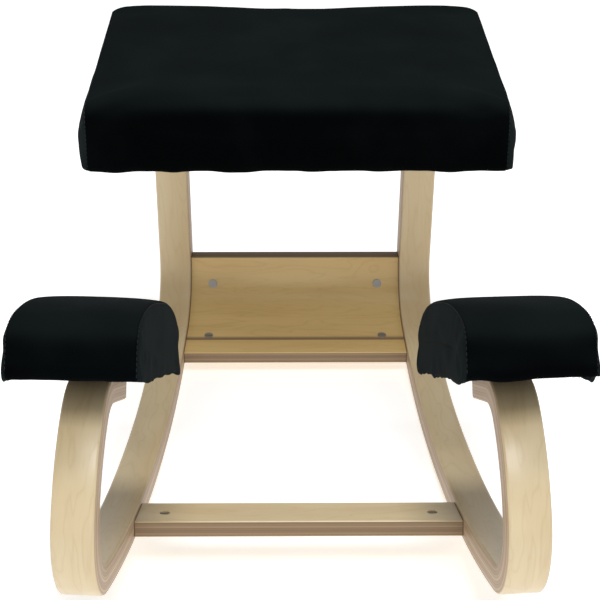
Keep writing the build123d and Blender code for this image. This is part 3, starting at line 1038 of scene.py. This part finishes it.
def knee_matrix(side):
    """A knee rest's frame, on top of a runner's knee arm."""
    plane = runner_plane(side)
    turn = radians(knee_end[1] - 180)
    ahead, up = plane.col[0].to_3d(), Vector((0, 0, 1))
    origin = plane @ Vector((*knee_station, 0))
    forward = ahead * cos(turn) + up * sin(turn)
    return frame_matrix(origin, forward, up * cos(turn) - ahead * sin(turn))


print("seat frame at", [round(value, 3) for value in seat_matrix().translation])

# %% Make the cushions
seat_hem_wave, seat_cap = 0.0022, 0.004
pad_hem_wave, pad_cap = 0.0035, 0.003
seams = []


def make_cushion(name, profile, half_width, rounds, seam_inset, place, hem_wave, cap, seed):
    """Sew, swell, soften and place one cushion, and note its two seams."""
    half_width -= swell
    item = place_object(name, cushion_shell(profile, half_width, rounds, seam_inset))
    blow_up(item, half_width - seam_inset, cap)
    pucker(item, hem_wave, seed)
    soften(item)
    seams.extend([place @ point for point in seam_path(item, side)] for side in (1, -1))
    item.data.transform(place)
    item.data.materials.clear()
    item.data.materials.append(velour_finish)
    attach(item, "root")
    print(name, len(item.data.polygons), "faces")
    return item


seat = make_cushion(
    "seat_cushion",
    seat_profile(),
    seat_width / 2,
    seat_rounds,
    seat_seam,
    seat_matrix(),
    seat_hem_wave,
    seat_cap,
    seed=1.7,
)
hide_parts("seat_cover", "seat_foam")
for side, word, seed in ((1, "right", 5.3), (-1, "left", 8.1)):
    pad = make_cushion(
        f"{word}_knee_cushion",
        pad_profile(),
        pad_width / 2,
        pad_rounds,
        pad_seam,
        knee_matrix(side),
        pad_hem_wave,
        pad_cap,
        seed,
    )
    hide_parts(f"{word}_knee_cover", f"{word}_knee_foam")

# %% [markdown]
# ## Stitches and staples
# Each seam is closed by a row of short black stitches, and the hem is stapled to the board through
# the lining. Both are one small shape repeated along a line, so one kind of Geometry Nodes tree
# makes them: it walks the line at an even spacing and lays a dash along it at each stop.


# %% Trees for dashes along a line
def dash_tree(name, dash):
    """Tree that repeats a dash, one unit long on its z, along the host's chains of edges."""
    sizes = {"Spacing": "Float", "Length": "Float", "Thickness": "Float", "Material": "Material"}
    start, given = new_tree(name, sizes)
    line = start.node("GeometryNodeMeshToCurve", {}, {"Mesh": given["Geometry"]})
    spacing = {"Curve": line, "Length": given["Spacing"]}
    stops = start.node("GeometryNodeResampleCurve", {"mode": "LENGTH"}, spacing)
    way = start.node("GeometryNodeInputTangent")
    turn = start.node("FunctionNodeAlignRotationToVector", {"axis": "Z"}, {"Vector": way})
    thick, long = given["Thickness"], given["Length"]
    size = start.node("ShaderNodeCombineXYZ", {}, {0: thick, 1: thick, 2: long})
    laid = {"Points": stops, "Instance": dash(start), "Rotation": turn, "Scale": size}
    row = start.node("GeometryNodeInstanceOnPoints", {}, laid)
    return close_tree(start, row, given["Material"])


def thread_dash(start):
    """A stitch: a ball one unit across, stretched to a grain of rice by its scale."""
    sizes = {"Segments": 8, "Rings": 5, "Radius": 0.5}
    return start.node("GeometryNodeMeshUVSphere", {}, sizes)


def wire_dash(start):
    """A staple's crown: a round wire one unit across and one long."""
    sizes = {"Vertices": 8, "Radius": 0.5, "Depth": 1.0}
    return start.node("GeometryNodeMeshCylinder", {}, sizes)


stitch_tree, staple_tree = dash_tree("Stitches", thread_dash), dash_tree("Staples", wire_dash)
print("trees", stitch_tree.name, "and", staple_tree.name)


# %% Sew the seams
thread, start, plug = new_finish("black thread", Roughness=0.7, Specular_IOR_Level=0.2)
x, y, z = object_place(start)
twist = ((x + y + z) * 9000.0).math("SINE")
plug(
    Base_Color=(twist * 0.5 + 0.5).mix((0.002, 0.003, 0.003, 1), (0.010, 0.013, 0.013, 1)),
    Normal=twist.bump(0.5, 0.0001),
)
stitch_sizes = {"Spacing": 0.0046, "Length": 0.0036, "Thickness": 0.0009, "Material": thread}
stitch_mesh = grow(chains_object(seams), stitch_tree, stitch_sizes)
stitch_mesh.shade_smooth()
stitches = place_object("seam_stitches", stitch_mesh)
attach(stitches, "root")
print("stitches:", len(stitches.data.polygons), "faces on", len(seams), "seams")


# %% Staple the hems
staple_margin = 0.018
staple_sink = -0.0003


def hem_line(place, half_width, front, back):
    """Closed line a little inside a cushion's underside."""
    side = half_width - staple_margin
    front, back = front - staple_margin, back + staple_margin
    corners = [(front, side), (front, -side), (back, -side), (back, side), (front, side)]
    return [place @ Vector((x, y, staple_sink)) for x, y in corners]


pad_back = pad_front - pad_length
hems = [hem_line(seat_matrix(), seat_width / 2, seat_front, seat_front - seat_depth)]
hems += [hem_line(knee_matrix(side), pad_width / 2, pad_front, pad_back) for side in (1, -1)]
staple_sizes = {"Spacing": 0.021, "Length": 0.010, "Thickness": 0.0008, "Material": zinc}
staples = place_object("hem_staples", grow(chains_object(hems), staple_tree, staple_sizes))
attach(staples, "root")
print("staples:", len(staples.data.polygons), "faces")

# %% [markdown]
# ## Floor, light and camera
# A studio with a pale floor that glows a little, so that it comes out almost white. The two main
# lights hang high, one in front and one overhead. A broad weak light low in front and one at each
# side fill the shade, and so does the white world.

# %% Floor
half_floor = 3.0
floor_drop = 0.0005
square = ((-1, -1), (1, -1), (1, 1), (-1, 1))
floor_mesh = bpy.data.meshes.new("floor")
corners = [(x * half_floor, y * half_floor, -floor_drop) for x, y in square]
floor_mesh.from_pydata(corners, [], [(0, 1, 2, 3)])
floor = place_object("floor", floor_mesh)
floor_finish, _, _ = new_finish(
    "pale floor",
    Base_Color=(0.90, 0.90, 0.90, 1),
    Roughness=0.9,
    Emission_Color=(1, 1, 1, 1),
    Emission_Strength=0.50,
)
floor_mesh.materials.append(floor_finish)
print("floor", 2 * half_floor, "m wide")

# %% Lights
world_strength = 0.34
lit_point = Vector((0, 0, 0.2))


def softbox(name, place, size, power):
    """A square area light that looks at the chair."""
    lamp = bpy.data.lights.new(name, "AREA")
    lamp.shape, lamp.size, lamp.energy = "SQUARE", size, power
    item = bpy.data.objects.new(name, lamp)
    item.location = place
    item.rotation_euler = (lit_point - Vector(place)).to_track_quat("-Z", "Y").to_euler()
    bpy.context.scene.collection.objects.link(item)


softbox("front light", (0.1, -2.9, 0.9), 1.2, 8)
softbox("high front light", (0.2, -1.6, 2.6), 0.8, 30)
softbox("top light", (0.0, 0.1, 2.8), 0.8, 30)
softbox("left light", (-2.2, -0.4, 1.0), 1.2, 6)
softbox("right light", (2.2, -0.4, 1.0), 1.2, 6)
world = bpy.data.worlds.new("studio")
world.use_nodes = True
background = world.node_tree.nodes["Background"].inputs
background["Color"].default_value = (1, 1, 1, 1)
background["Strength"].default_value = world_strength
bpy.context.scene.world = world
bpy.context.scene.view_settings.view_transform = "Standard"

# %% Camera
lens = 96.0
camera_height = 0.9457
camera_back = 1.5164
camera_side = -0.01615
camera_tilt = radians(27.44)
camera_turn = radians(-0.744)
camera_roll = radians(0.242)
camera_data = bpy.data.cameras.new("camera")
camera_data.lens = lens
camera = bpy.data.objects.new("camera", camera_data)
bpy.context.scene.collection.objects.link(camera)
level_right = Vector((cos(camera_turn), sin(camera_turn), 0))
level_ahead = Vector((-sin(camera_turn), cos(camera_turn), 0))
forward = level_ahead * cos(camera_tilt) - Vector((0, 0, sin(camera_tilt)))
level_up = level_right.cross(forward)
right = level_right * cos(camera_roll) + level_up * sin(camera_roll)
view_matrix = Matrix((right, right.cross(forward), -forward)).transposed().to_4x4()
view_matrix.translation = (camera_side, contact_y - camera_back, camera_height)
camera.matrix_world = view_matrix
bpy.context.scene.camera = camera
print("camera", camera_back, "m back and", camera_height, "m up, lens", lens, "mm")
